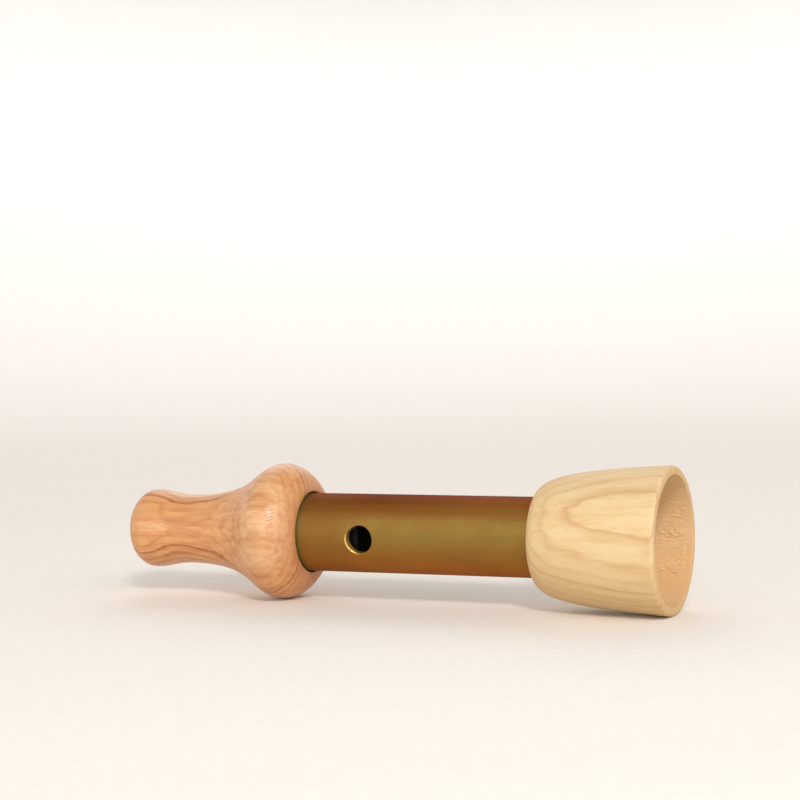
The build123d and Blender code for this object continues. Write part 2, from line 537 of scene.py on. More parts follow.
# Brass colour by height: painted reflection bands over the dull metal.
TARNISH_AND_REFLECTION = (
    (-TUBE_R, tone(172, 112, 52)),
    (-6.0, tone(170, 107, 48)),
    (-3.5, tone(157, 106, 49)),
    (-1.0, tone(142, 113, 55)),
    (1.0, tone(136, 115, 57)),
    (3.7, tone(155, 123, 64)),
    (5.5, tone(153, 95, 46)),
    (TUBE_R, tone(106, 47, 16)),
)


def brass_and_reflection_bands(tree, place, cloud, draw):
    """The brass colour by height, with painted reflection bands, a painted reflection of the bulge near the
    mouthpiece, and clouds and drawing lines in it.
    """
    along, depth, height = parts(tree, place)
    far_side = between(tree, depth, 0.5, 4.0, 1.0, FAR_SIDE_SHARE)
    opening = between(tree, along, BANDS_OPEN_FROM, BANDS_OPEN_TO, 1.05, 0.88)
    height = times(tree, height, far_side, opening)
    bands = stretched(tree, place, BANDS_PER_MM, detail=2.0)
    wave = plus(tree, height, times(tree, calc(tree, "SUBTRACT", bands, 0.5), BAND_WANDER))
    level = between(tree, wave, -TUBE_R, TUBE_R, ease="LINEAR")
    colour = ramp(tree, level, [((rise + TUBE_R) / (2 * TUBE_R), stain) for rise, stain in TARNISH_AND_REFLECTION])
    colour = mix(tree, between(tree, along, BULGE_REFLECTION_TO, BULGE_REFLECTION_FROM, 0.0, 0.6), colour, BULGE_REFLECTION_TONE)
    colour = mix(tree, between(tree, cloud, 0.35, 0.75, 0.0, 0.4), colour, CLOUD_TONE)
    return mix(tree, between(tree, draw, 0.35, 0.7, 0.0, 0.25), colour, DRAW_TONE)


# These are the steps of the brass colour and its painted reflection bands.
print("brass:", len(TARNISH_AND_REFLECTION), "steps of tarnish")

# %% [markdown]
# Three small things sit on the brass: dark specks, a green line just beside the mouthpiece, and the fresh
# metal at the window's deburred edge. That fresh metal shows only on the lower left of the edge, as a
# painted highlight on the side that faces the light. The window's place is measured from the mouthpiece,
# and it looks a little below the horizontal as the call lies.

# %% Specks, green line and cut edge
SPECKS_PER_MM = 0.45
SPECK_TONE = tone(74, 48, 22)
GREEN_FROM = MOUTHPIECE_JOINT + 0.9
GREEN_TO = MOUTHPIECE_JOINT + 1.7
GREEN_TONE = tone(108, 112, 62)
WINDOW_DROOP = math.radians(3.0)
WINDOW_R = 2.75
WINDOW_DEBURR = 0.4
WINDOW_FROM_MOUTHPIECE = 13.8
WINDOW_X = MOUTH_X + (MOUTHPIECE_END + WINDOW_FROM_MOUTHPIECE) * MM
CUT_BLEND = 0.08


def specks_and_green(tree, place, cloud, colour):
    """A colour with dark specks, and with green beside the mouthpiece."""
    dots = add(tree, "ShaderNodeTexVoronoi", {"Vector": place, "Scale": SPECKS_PER_MM, "Randomness": 1.0})
    chance = parts(tree, dots.outputs["Color"])["X"]
    speck = between(tree, dots.outputs["Distance"], 0.1, 0.04)
    speck = times(tree, speck, between(tree, chance, 0.5, 0.9))
    colour = stained(tree, colour, SPECK_TONE, speck, 0.6)
    near_wood = plus(tree, parts(tree, place)["X"], times(tree, cloud, 1.2))
    return stained(tree, colour, GREEN_TONE, between(tree, near_wood, GREEN_TO, GREEN_FROM), 0.6)


def window_lit_cut_edge(tree, place):
    """A mask of the fresh metal at the window's deburred edge, kept to its lit side as a painted highlight.
    """
    centred = {"Vector": place, "Location": (-WINDOW_X / MM, 0.0, 0.0)}
    centred = add(tree, "ShaderNodeMapping", centred).outputs[0]
    faced = {"Vector": centred, "Rotation": (-WINDOW_DROOP, 0.0, 0.0)}
    right, inward, up = parts(tree, add(tree, "ShaderNodeMapping", faced).outputs[0])
    edge = WINDOW_R + WINDOW_DEBURR
    cut = between(tree, diagonal(tree, right, up), edge, edge - CUT_BLEND)
    # The fresh metal is real; keeping it to the lower left of the edge, which faces the light, paints a
    # highlight there.
    toward_lit_side = plus(tree, right, times(tree, up, 0.5))
    lit_side_share = between(tree, toward_lit_side, -1.6, -3.2, 0.0, 0.8)
    return times(tree, cut, between(tree, inward, 0.0, -1.0), lit_side_share)


print(f"brass: window {WINDOW_X / MM:.1f} mm from the frame's middle")

# %% [markdown]
# Tarnish is no longer bare metal, so the shader is metallic only in part, with a brownish reflection. The
# clouds and the drawing lines also change the gloss, and the cut edge is far shinier than the rest.

# %% Recipe for aged brass
DRAW_PER_MM = (0.03, 9.0, 9.0)
CLOUD_PER_MM = (0.12, 0.2, 0.2)
CUT_TONE = tone(240, 196, 108)
REFLECTION_TONE = tone(150, 96, 46)


def aged_brass_finish():
    """Dull drawn brass with painted reflection bands, and a bright cut edge at the window with a painted
    highlight on its lit side.
    """
    material, tree, shader, place = new_finish("aged_brass")
    draw = stretched(tree, place, DRAW_PER_MM, detail=3.0)
    cloud = stretched(tree, place, CLOUD_PER_MM, detail=4.0, roughness=0.6)
    cut = window_lit_cut_edge(tree, place)
    colour = brass_and_reflection_bands(tree, place, cloud, draw)
    colour = specks_and_green(tree, place, cloud, colour)
    colour = mix(tree, cut, colour, CUT_TONE)
    rough = plus(tree, times(tree, cloud, 0.2), 0.4, times(tree, draw, 0.06))
    rough = calc(tree, "SUBTRACT", rough, times(tree, cut, 0.5))
    dress(tree, shader, colour, rough, draw, strength=0.15, depth=0.01)
    shader.inputs["Metallic"].default_value = 0.7
    shader.inputs["Specular IOR Level"].default_value = 0.2
    shader.inputs["Specular Tint"].default_value = REFLECTION_TONE
    return material


aged_brass = aged_brass_finish()
print("metal:", aged_brass.name)

# %% [markdown]
# ### Black plug
# The plug is a black turned rod. It shows only through the window and at the bottom of the bell, so the
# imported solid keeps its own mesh, and a satin black with faint marks along its length is all it needs.

# %% Black plug
MARKS_PER_MM = (0.15, 6.0, 6.0)


def black_plug_finish():
    """Satin black with faint marks along the rod."""
    material, tree, shader, place = new_finish("black_plug")
    marks = stretched(tree, place, MARKS_PER_MM, detail=3.0)
    colour = mix(tree, between(tree, marks, 0.35, 0.75), tone(8, 9, 13), tone(14, 15, 20))
    rough = between(tree, marks, 0.3, 0.8, 0.3, 0.5)
    dress(tree, shader, colour, rough, marks, strength=0.2, depth=0.02)
    shader.inputs["Specular IOR Level"].default_value = 0.2
    return material


black_plug = black_plug_finish()
plug_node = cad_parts["fipple_plug"]
plug_node.data.materials.clear()
plug_node.data.materials.append(black_plug)
print("plug:", black_plug.name, "on", plug_node.name)

# %% [markdown]
# ## Turned outlines
# A turned piece is one outline carried round the axis. The outline is a few cubic curves between the
# turner's marks, with the same eases as the solids have, and small arcs where a sharp edge was broken.
# The points are spaced closely, so that fine relief on the surface has faces to live on.

# %% Helpers for outlines
FINE_STEP = 0.2
SIDE_STEP = 0.6
BOWL_STEP = 0.15
COARSE_STEP = 1.2


def curve_run(start, end, leave, arrive, step=FINE_STEP):
    """Points up to, but without, the end of a curve that leaves and arrives by two handle vectors."""
    start, end = Vector(start), Vector(end)
    corners = [start, start + Vector(leave), end - Vector(arrive), end]
    reach = sum((b - a).length for a, b in zip(corners, corners[1:]))
    count = max(2, round(reach / step))
    points = []
    for index in range(count):
        t = index / count
        shares = ((1 - t) ** 3, 3 * t * (1 - t) ** 2, 3 * t * t * (1 - t), t**3)
        points.append(sum((share * corner for share, corner in zip(shares, corners)), Vector((0, 0))))
    return points


def straight_run(step, *corners):
    """Points up to, but without, the end of a line with straight runs between its corners."""
    points = []
    for start, end in zip(corners, corners[1:]):
        start, end = Vector(start), Vector(end)
        count = max(1, round((end - start).length / step))
        points += [start.lerp(end, index / count) for index in range(count)]
    return points


def break_edge(points, corner, radius, arc_points=7):
    """The closed outline with one sharp corner turned into an arc of the given radius."""
    corner = Vector(corner)
    place = min(range(len(points)), key=lambda index: (points[index] - corner).length)
    before = (points[place - 1] - corner).normalized()
    after = (points[(place + 1) % len(points)] - corner).normalized()
    half = before.angle(after) / 2
    reach = radius / math.tan(half)
    centre = corner + (before + after).normalized() * radius / math.sin(half)
    start = corner + before * reach - centre
    end = corner + after * reach - centre
    sweep = start.angle_signed(end)
    arc = []
    for index in range(arc_points + 1):
        turn = Matrix.Rotation(-sweep * index / arc_points, 2)
        arc.append(centre + turn @ start)
    kept_before = [p for p in points[:place] if (p - corner).length > reach * 1.02]
    kept_after = [p for p in points[place + 1:] if (p - corner).length > reach * 1.02]
    return kept_before + arc + kept_after


print("outline helpers ready")

# %% [markdown]
# The mouthpiece is a pear: a blunt tip with the blow hole, a small bulb for the lips, a waist, a wide bulge
# and a back that curls in to the tube. Each mark is a station and a radius, and each ease is a share of the
# run or rise that it shapes. The inside is the socket for the tube and the blow hole.

# %% Outline of the mouthpiece
BLOW_R = 2.5
SOCKET_R = TUBE_R + 0.05
SOCKET_LEAD = 0.3
TIP = (0.0, 3.4)
BULB = (4.5, 8.25)
WAIST = (13.0, 7.2)
BULGE = (MOUTHPIECE_END - 6.4, BULGE_R)
BACK = (MOUTHPIECE_END, TUBE_R + 0.7)
DOME_EASE = 0.55
BULB_EASE = 0.30
WAIST_EASE_TO_TIP = 0.50
WAIST_EASE_TO_BACK = 0.74
BULGE_EASE = 0.26
BACK_EASE_ALONG = 0.51
BACK_EASE_INWARD = 0.32

tip_rise = BULB[1] - TIP[1]
bulb_run = WAIST[0] - BULB[0]
bulge_run = BULGE[0] - WAIST[0]
back_run = BACK[0] - BULGE[0]
back_fall = BULGE[1] - BACK[1]
lead_inside = (BACK[0] - SOCKET_LEAD, SOCKET_R)
mouthpiece_outline = (
    straight_run(FINE_STEP, (0.0, BLOW_R), TIP)
    + curve_run(TIP, BULB, (0.0, DOME_EASE * tip_rise), (DOME_EASE * BULB[0], 0.0))
    + curve_run(BULB, WAIST, (BULB_EASE * bulb_run, 0.0), (WAIST_EASE_TO_TIP * bulb_run, 0.0))
    + curve_run(WAIST, BULGE, (WAIST_EASE_TO_BACK * bulge_run, 0.0), (BULGE_EASE * bulge_run, 0.0))
    + curve_run(BULGE, BACK, (BACK_EASE_ALONG * back_run, 0.0), (0.0, -BACK_EASE_INWARD * back_fall))
    + straight_run(FINE_STEP, BACK, (BACK[0], SOCKET_R + SOCKET_LEAD), lead_inside)
    + straight_run(COARSE_STEP, lead_inside, (TUBE_START, SOCKET_R), (TUBE_START, BLOW_R), (0.0, BLOW_R))
)
print("mouthpiece outline:", len(mouthpiece_outline), "points")

# %% [markdown]
# The bell is a cup with a rounded base. Its side meets the rim at a slight slope and the rim is rounded
# outside, while the bowl's edge is only just broken. The bowl gets the closest points, because its torn
# wall needs them. The throat at its bottom is as wide as the tube's bore.

# %% Outline of the bell
TUBE_WALL = 1.5
BORE_R = TUBE_R - TUBE_WALL
BASE = (BELL_START, TUBE_R + 1.2)
RIM_ROUND = 0.8
MOUTH_ROUND = 0.12
RIM_SLOPE = 0.05
RIM = (CALL_LENGTH, RIM_R + RIM_ROUND * (RIM_SLOPE + math.hypot(1.0, RIM_SLOPE) - 1.0))
MOUTH = (CALL_LENGTH, RIM_R - 1.7)
THROAT = (TUBE_END + 1.5, BORE_R)
BASE_EASE = 0.50
RIM_EASE = 0.75
BOWL_EASE_RIM = 0.55
BOWL_SLOPE = 0.10
BOWL_EASE_ALONG = 0.12
BOWL_EASE_OUTWARD = 0.45

side_rise = RIM[1] - BASE[1]
side_handle = RIM_EASE * (RIM[0] - BASE[0])
bowl_depth = MOUTH[0] - THROAT[0]
bowl_rise = MOUTH[1] - THROAT[1]
bowl_handle = BOWL_EASE_RIM * bowl_depth
into_bowl = (-bowl_handle, -BOWL_SLOPE * bowl_handle)
into_throat = (-BOWL_EASE_ALONG * bowl_depth, -BOWL_EASE_OUTWARD * bowl_rise)
lead_inside = (BELL_START + SOCKET_LEAD, SOCKET_R)
bell_outline = (
    curve_run(BASE, RIM, (0.0, BASE_EASE * side_rise), (side_handle, RIM_SLOPE * side_handle), SIDE_STEP)
    + straight_run(FINE_STEP, RIM, MOUTH)
    + curve_run(MOUTH, THROAT, into_bowl, into_throat, BOWL_STEP)
    + straight_run(FINE_STEP, THROAT, (TUBE_END, BORE_R))
    + straight_run(COARSE_STEP, (TUBE_END, BORE_R), (TUBE_END, SOCKET_R), lead_inside)
    + straight_run(FINE_STEP, lead_inside, (BELL_START, SOCKET_R + SOCKET_LEAD), BASE)
)
bell_outline = break_edge(bell_outline, RIM, RIM_ROUND)
bell_outline = break_edge(bell_outline, MOUTH, MOUTH_ROUND)
print("bell outline:", len(bell_outline), "points")

# %% [markdown]
# ## The lathe
# Carrying an outline round an axis is a rule, so Geometry Nodes do it. A grid has one column for each
# point of the outline and one row for each facet. Each grid point looks its outline point up by index and
# moves to its angle on the axis. Merging by distance closes the seam, and flipping the faces turns them
# outwards. A Screw modifier could turn the outline as well, but one tree can also sand the surface, keep
# its sharp edges and set its material.

# %% Helpers for trees of geometry
SEAM_REACH = 1e-6


def new_tree(name, inputs):
    """A Geometry Nodes tree with named inputs, and the sockets that hand on their values."""
    tree = bpy.data.node_groups.new(name, "GeometryNodeTree")
    for title, kind in inputs.items():
        tree.interface.new_socket(title, in_out="INPUT", socket_type="NodeSocket" + kind)
    tree.interface.new_socket("Geometry", in_out="OUTPUT", socket_type="NodeSocketGeometry")
    return tree, add(tree, "NodeGroupInput").outputs


def end_tree(tree, geometry, finish):
    """Ends a tree with real geometry, its material and the output."""
    real = add(tree, "GeometryNodeRealizeInstances", {0: geometry}).outputs[0]
    done = add(tree, "GeometryNodeSetMaterial", {"Geometry": real, "Material": finish}).outputs[0]
    add(tree, "NodeGroupOutput", {0: done})


def whole(tree, operation, first, second):
    """The result of one Math node for whole numbers."""
    return add(tree, "FunctionNodeIntegerMath", {0: first, 1: second}, operation=operation).outputs[0]


def carried_round(tree, given):
    """The outline carried round the axis, closed and facing outwards."""
    outline = given["Outline"]
    count = add(tree, "GeometryNodeAttributeDomainSize", {0: outline}).outputs["Point Count"]
    rows = whole(tree, "ADD", given["Facets"], 1)
    grid = add(tree, "GeometryNodeMeshGrid", {"Vertices X": count, "Vertices Y": rows}).outputs["Mesh"]
    index = add(tree, "GeometryNodeInputIndex").outputs[0]
    here = add(tree, "GeometryNodeInputPosition").outputs[0]
    looked_up = {"Geometry": outline, "Value": here, "Index": whole(tree, "DIVIDE_FLOOR", index, rows)}
    point = add(tree, "GeometryNodeSampleIndex", looked_up, data_type="FLOAT_VECTOR").outputs[0]
    x, radius = parts(tree, point)["X"], parts(tree, point)["Z"]
    facet = whole(tree, "MODULO", index, rows)
    angle = times(tree, calc(tree, "DIVIDE", facet, given["Facets"]), math.tau)
    side = times(tree, radius, calc(tree, "COSINE", angle))
    rise = times(tree, radius, calc(tree, "SINE", angle))
    spot = {0: x, 1: side, 2: plus(tree, rise, given["Axis Height"])}
    spot = add(tree, "ShaderNodeCombineXYZ", spot).outputs[0]
    turned = add(tree, "GeometryNodeSetPosition", {"Geometry": grid, "Position": spot}).outputs[0]
    closed = {"Geometry": turned, "Distance": SEAM_REACH}
    closed = add(tree, "GeometryNodeMergeByDistance", closed).outputs[0]
    return add(tree, "GeometryNodeFlipFaces", {"Mesh": closed}).outputs[0]


print("helpers for geometry ready")

# %% [markdown]
# Hand sanding never leaves a perfect circle. So a slow noise lets the surface sink by a few hundredths of
# a millimetre, which breaks up the long highlights. Edges that are sharper than the crease angle stay
# sharp, and all the rest is shaded smooth.

# %% Build the lathe
CREASE_ANGLE = math.radians(32.0)


def sanded(tree, given, geometry):
    """Geometry with the slight waves of hand sanding."""
    here = add(tree, "GeometryNodeInputPosition").outputs[0]
    waves = {"Vector": here, "W": given["Seed"], "Scale": given["Sanding Waves"], "Detail": 1.0}
    wave = add(tree, "ShaderNodeTexNoise", waves, noise_dimensions="4D").outputs["Fac"]
    push = times(tree, wave, times(tree, given["Sanding Depth"], -1.0))
    offset = scaled(tree, add(tree, "GeometryNodeInputNormal").outputs[0], push)
    return add(tree, "GeometryNodeSetPosition", {"Geometry": geometry, "Offset": offset}).outputs[0]


def creased(tree, geometry):
    """Geometry that is shaded smooth, but for its sharp edges."""
    smooth = {"Geometry": geometry, "Shade Smooth": True}
    smooth = add(tree, "GeometryNodeSetShadeSmooth", smooth).outputs[0]
    angles = add(tree, "GeometryNodeInputMeshEdgeAngle").outputs["Unsigned Angle"]
    sharp = add(tree, "FunctionNodeCompare", {0: angles, 1: CREASE_ANGLE}, operation="GREATER_THAN")
    edges = {"Geometry": smooth, "Selection": sharp.outputs[0], "Shade Smooth": False}
    return add(tree, "GeometryNodeSetShadeSmooth", edges, domain="EDGE").outputs[0]


def build_lathe():
    """A tree that turns a line of points into a closed turned piece around the call's axis."""
    tree, given = new_tree("lathe", {
        "Outline": "Geometry",
        "Facets": "Int",
        "Axis Height": "Float",
        "Sanding Depth": "Float",
        "Sanding Waves": "Float",
        "Seed": "Float",
        "Finish": "Material",
    })
    turned = creased(tree, sanded(tree, given, carried_round(tree, given)))
    end_tree(tree, turned, given["Finish"])
    return tree


lathe = build_lathe()
print("lathe inputs:", [item.name for item in lathe.interface.items_tree if item.in_out == "INPUT"])

# %% [markdown]
# A tree works through a modifier. Its inputs are set by their identifiers, and the evaluated result is
# kept as a plain mesh, so that the finished piece needs no modifier. A closed mesh with a positive volume
# has no holes and no face that points inwards, so both are measured.

# %% Turn the mouthpiece and the bell
SANDING_WAVES = 160.0


def put_in_scene(name, data):
    """A new object for a mesh, a lamp or a camera, linked to the scene."""
    piece = bpy.data.objects.new(name, data)
    SCENE.collection.objects.link(piece)
    return piece


def run_tree(piece, tree, values):
    """Runs a Geometry Nodes tree on a piece and leaves the result on it as a plain mesh."""
    modifier = piece.modifiers.new(tree.name, "NODES")
    modifier.node_group = tree
    for item in tree.interface.items_tree:
        if item.in_out == "INPUT" and item.name in values:
            modifier[item.identifier] = values[item.name]
    shaped = piece.evaluated_get(bpy.context.evaluated_depsgraph_get())
    mesh = bpy.data.meshes.new_from_object(shaped)
    piece.modifiers.clear()
    piece.data = mesh
    mesh.name = piece.name


def turn_piece(name, outline, finish, facets, sanding_depth, seed):
    """A turned piece from an outline of stations and radii in millimetres."""
    points = [(MOUTH_X + p[0] * MM, 0.0, p[1] * MM) for p in outline + outline[:1]]
    mesh = bpy.data.meshes.new(name)
    mesh.from_pydata(points, [(i, i + 1) for i in range(len(points) - 1)], [])
    piece = put_in_scene(name, mesh)
    run_tree(piece, lathe, {
        "Facets": facets,
        "Axis Height": AXIS_Z,
        "Sanding Depth": sanding_depth * MM,
        "Sanding Waves": SANDING_WAVES,
        "Seed": seed,
        "Finish": finish,
    })
    return piece


def measure(piece):
    """Prints a piece's faces, its volume in cubic millimetres and its number of open edges."""
    shell = bmesh.new()
    shell.from_mesh(piece.data)
    volume = shell.calc_volume(signed=True) / MM**3
    open_edges = sum(1 for edge in shell.edges if not edge.is_manifold)
    print(f"{piece.name}: {len(shell.faces)} faces, {volume:.0f} mm3, {open_edges} open edges")
    shell.free()


mouthpiece = turn_piece(
    "mouthpiece_turned", mouthpiece_outline, mouthpiece_wood, facets=240, sanding_depth=0.12, seed=3.0
)
bell = turn_piece("bell_turned", bell_outline, bell_wood, facets=420, sanding_depth=0.06, seed=8.0)
measure(mouthpiece)
measure(bell)

# %% [markdown]
# ## Torn fibres in the bowl
# Inside the bell the cutter worked against the grain on the far side and tore the wood. A bump in the
# material would stay flat at the bowl's edge, so the tears are real geometry. They follow a surface, which
# is work for Geometry Nodes. First a mask picks the bowl's wall on the torn side, in loose patches. A
# spoke, the direction from the axis to a point, tells which side the point is on and if it faces inwards.

# %% Find the torn places
TEAR_BEARING = math.radians(-6.0)
PATCHES_PER_M = (180.0, 260.0, 260.0)
FADE_DEEP = 2.5
FADE_LIP = 1.2


def bearing(angle):
    """The direction across the call at an angle above +Y."""
    return (0.0, math.cos(angle), math.sin(angle))


def torn_places(tree, given, here, normal):
    """A mask of the torn places, how far each point faces outwards, and its spoke."""
    x, y, z = parts(tree, here)
    rise = calc(tree, "SUBTRACT", z, given["Axis Height"])
    spoke = add(tree, "ShaderNodeCombineXYZ", {1: y, 2: rise}).outputs[0]
    spoke = vector_calc(tree, "NORMALIZE", spoke)
    outward = vector_calc(tree, "DOT_PRODUCT", spoke, normal)
    side = vector_calc(tree, "DOT_PRODUCT", spoke, bearing(TEAR_BEARING))
    facing = between(tree, side, 0.72, 0.93)
    opposite = between(tree, side, -0.8, -0.98, 0.0, 0.35)
    deep = plus(tree, given["Bowl Start"], FADE_DEEP * MM)
    lip = calc(tree, "SUBTRACT", given["Bowl End"], FADE_LIP * MM)
    patches = stretched(tree, here, PATCHES_PER_M, detail=1.0)
    mask = times(
        tree,
        plus(tree, facing, opposite),
        between(tree, x, given["Bowl Start"], deep),
        between(tree, x, given["Bowl End"], lip),
        between(tree, outward, -0.1, -0.5),
        between(tree, patches, 0.32, 0.6, 0.15, 1.0),
    )
    return mask, outward, spoke


print("tearing: mask ready")

# %% [markdown]
# Torn wood breaks off in flakes that are long along the grain, each at its own level and tipped a little.
# Cells with a random level give the flakes, noise shakes their borders, and fine furrows run over them.
# The mesh also carries three values that the wood recipe reads: the bowl, for painted shade and warm
# bounce light inside it; the torn mark, raw wood with painted shade deeper in the pits, joined by painted
# warm bounce light on the bowl's lower side; and the lifted slivers.

# %% Cut the flakes and mark the bowl
# The side of the bowl that gets painted warm bounce light.
BOUNCE_LIGHT_BEARING = math.radians(-36.0)
FLAKES_PER_M = (620.0, 2300.0, 2300.0)
FURROWS_PER_M = (230.0, 1500.0, 1500.0)
LEVEL_SHARE = 0.8
TILT_SHARE = 0.9
FURROW_SHARE = 0.8
MEAN_CUT = 0.95


def store(tree, geometry, name, value):
    """Geometry with a named value written on its points."""
    stored = {"Geometry": geometry, "Name": name, "Value": value}
    return add(tree, "GeometryNodeStoreNamedAttribute", stored).outputs[0]


def flakes(tree, here, mask):
    """How high the torn surface stands, in shares of the tear depth."""
    cells = vector_calc(tree, "MULTIPLY", here, FLAKES_PER_M)
    jitter = {"Vector": cells, "Scale": 1.3, "Detail": 2.0}
    jitter = add(tree, "ShaderNodeTexNoise", jitter).outputs["Color"]
    shaken = vector_calc(tree, "MULTIPLY_ADD", jitter, (0.5, 0.9, 0.9), cells)
    flake = add(tree, "ShaderNodeTexVoronoi", {"Vector": shaken, "Scale": 1.0, "Randomness": 1.0}).outputs
    level = parts(tree, flake["Color"])["X"]
    tilt = parts(tree, vector_calc(tree, "SUBTRACT", shaken, flake["Position"]))["X"]
    furrow = stretched(tree, here, FURROWS_PER_M, detail=2.0)
    cut = plus(
        tree,
        times(tree, level, LEVEL_SHARE),
        times(tree, tilt, TILT_SHARE),
        times(tree, furrow, FURROW_SHARE),
    )
    return times(tree, calc(tree, "SUBTRACT", cut, MEAN_CUT), mask)


def marked_bowl(tree, geometry, mask, outward, spoke, cut):
    """Geometry that carries its bowl and its torn mark, with painted shade and warm bounce light in both.
    """
    # Torn wood darkens more the deeper its pit sinks: partly raw wood, partly painted shade.
    raw_and_pit_shade = times(tree, between(tree, cut, 0.0, -0.5, 0.0, 0.7), mask)
    # Painted warm bounce light on the bowl's lower side, stored in the torn mark.
    stain = vector_calc(tree, "DOT_PRODUCT", spoke, bearing(BOUNCE_LIGHT_BEARING))
    stain = times(tree, between(tree, stain, 0.82, 0.97, 0.0, 0.7), between(tree, outward, -0.3, -0.8))
    marked = store(tree, geometry, "torn", calc(tree, "MAXIMUM", raw_and_pit_shade, stain))
    # The bowl mark is painted shade and warm bounce light on wood that faces the axis.
    return store(tree, marked, "bowl", between(tree, outward, 0.0, -0.6))


print("tearing: flakes and marks ready")

# %% [markdown]
# A sliver is a thin spike that is still held at its root and curls up at its tip. One is made with unit
# length, from a curve with a ring run along it, and scattered over the mask with a fixed seed. Each lies
# along the grain, sways a little and has its own size. None stands near the rim, where it would stick out.

# %% Scatter the slivers
CLEAR_OF_RIM = 1.5  # in sliver lengths


def one_sliver(tree, given):
    """A sliver of unit length along +X that thins out and curls up at its tip."""
    curl = {"Resolution": 4, "Start": (0.0, 0.0, -0.04), "Middle": (0.6, 0.0, 0.0), "End": (1.0, 0.0, 0.16)}
    spine = add(tree, "GeometryNodeCurveQuadraticBezier", curl).outputs[0]
    along = add(tree, "GeometryNodeSplineParameter").outputs["Factor"]
    taper = calc(tree, "SUBTRACT", 1.05, calc(tree, "POWER", along, 1.6))
    thin = times(tree, taper, calc(tree, "DIVIDE", given["Sliver Width"], given["Sliver Length"]))
    ring = add(tree, "GeometryNodeCurvePrimitiveCircle", {"Resolution": 5, "Radius": 0.5}).outputs[0]
    tapered = {"Curve": spine, "Profile Curve": ring, "Scale": thin, "Fill Caps": True}
    return add(tree, "GeometryNodeCurveToMesh", tapered).outputs[0]


def drawn_lots(tree, seed, low, high):
    """Three random numbers for each sliver, between two limits."""
    limits = {"Min": low, "Max": high, "Seed": seed}
    return add(tree, "FunctionNodeRandomValue", limits, data_type="FLOAT_VECTOR").outputs[0]


def scattered_slivers(tree, given, here, torn_bell, mask):
    """Slivers over the torn places, turned along the grain, each with its own sway and size."""
    clear = calc(tree, "SUBTRACT", given["Bowl End"], times(tree, given["Sliver Length"], CLEAR_OF_RIM))
    clear = calc(tree, "LESS_THAN", parts(tree, here)["X"], clear)
    crowd = times(tree, clear, given["Slivers per Area"], mask)
    spread = {"Mesh": torn_bell, "Density": crowd, "Seed": given["Seed"]}
    spots = add(tree, "GeometryNodeDistributePointsOnFaces", spread).outputs
    laid = {"Primary Axis": spots["Normal"], "Secondary Axis": (1.0, 0.0, 0.0)}
    laid = add(tree, "FunctionNodeAxesToRotation", laid, primary_axis="Z", secondary_axis="X").outputs[0]
    sway = drawn_lots(tree, given["Seed"], (-0.3, -0.25, -0.22), (0.3, 0.05, 0.22))
    sway = add(tree, "FunctionNodeEulerToRotation", {0: sway}).outputs[0]
    swayed = {"Rotation": laid, "Rotate By": sway}
    swayed = add(tree, "FunctionNodeRotateRotation", swayed, rotation_space="LOCAL").outputs[0]
    size = drawn_lots(tree, whole(tree, "ADD", given["Seed"], 1), (0.45, 0.5, 0.3), (1.5, 1.3, 0.9))
    placed = {
        "Points": spots["Points"],
        "Instance": one_sliver(tree, given),
        "Rotation": swayed,
        "Scale": scaled(tree, size, given["Sliver Length"]),
    }
    return add(tree, "GeometryNodeInstanceOnPoints", placed).outputs[0]


print("tearing: slivers ready")

# %% [markdown]
# The tree joins these steps: mark the bell, push its torn surface in and out, add the slivers. Slivers
# inherit the torn mark of the wood under them, with its painted shade and bounce light, so that is wiped
# off before they are marked as lifted.

# %% Tear the bowl
def build_tearing():
    """A tree that cuts flakes into one side of the bowl and scatters lifted slivers over it."""
    tree, given = new_tree("tearing", {
        "Bell": "Geometry",
        "Axis Height": "Float",
        "Bowl Start": "Float",
        "Bowl End": "Float",
        "Tear Depth": "Float",
        "Sliver Length": "Float",
        "Sliver Width": "Float",
        "Slivers per Area": "Float",
        "Seed": "Int",
        "Finish": "Material",
    })
    here = add(tree, "GeometryNodeInputPosition").outputs[0]
    normal = add(tree, "GeometryNodeInputNormal").outputs[0]
    mask, outward, spoke = torn_places(tree, given, here, normal)
    cut = flakes(tree, here, mask)
    marked = marked_bowl(tree, given["Bell"], mask, outward, spoke, cut)
    offset = scaled(tree, normal, times(tree, cut, given["Tear Depth"]))
    torn_bell = add(tree, "GeometryNodeSetPosition", {"Geometry": marked, "Offset": offset}).outputs[0]
    slivers = scattered_slivers(tree, given, here, torn_bell, mask)
    slivers = add(tree, "GeometryNodeRealizeInstances", {0: slivers}).outputs[0]
    slivers = store(tree, store(tree, slivers, "torn", 0.0), "lifted", 1.0)
    joined = add(tree, "GeometryNodeJoinGeometry", {0: torn_bell})
    tree.links.new(slivers, joined.inputs[0])
    end_tree(tree, joined.outputs[0], given["Finish"])
    return tree


run_tree(bell, build_tearing(), {
    "Axis Height": AXIS_Z,
    "Bowl Start": MOUTH_X + (THROAT[0] + 1.0) * MM,
    "Bowl End": MOUTH_X + (CALL_LENGTH - 0.4) * MM,
    "Tear Depth": 0.2 * MM,
    "Sliver Length": 1.9 * MM,
    "Sliver Width": 0.22 * MM,
    "Slivers per Area": 0.8 / MM**2,
    "Seed": 5,
    "Finish": bell_wood,
})
measure(bell)

# %% [markdown]
# ## The tube
# The tube is round everywhere but at the window, where a hole meets a curved wall. A boolean cut leaves
# thin slivers of faces there that spoil the shine, so the mesh is laid out around the hole instead. A
# square patch of the wall is left out, and rings of faces will run from its border to the hole. A spoke
# goes from the window's middle to each point of that border.

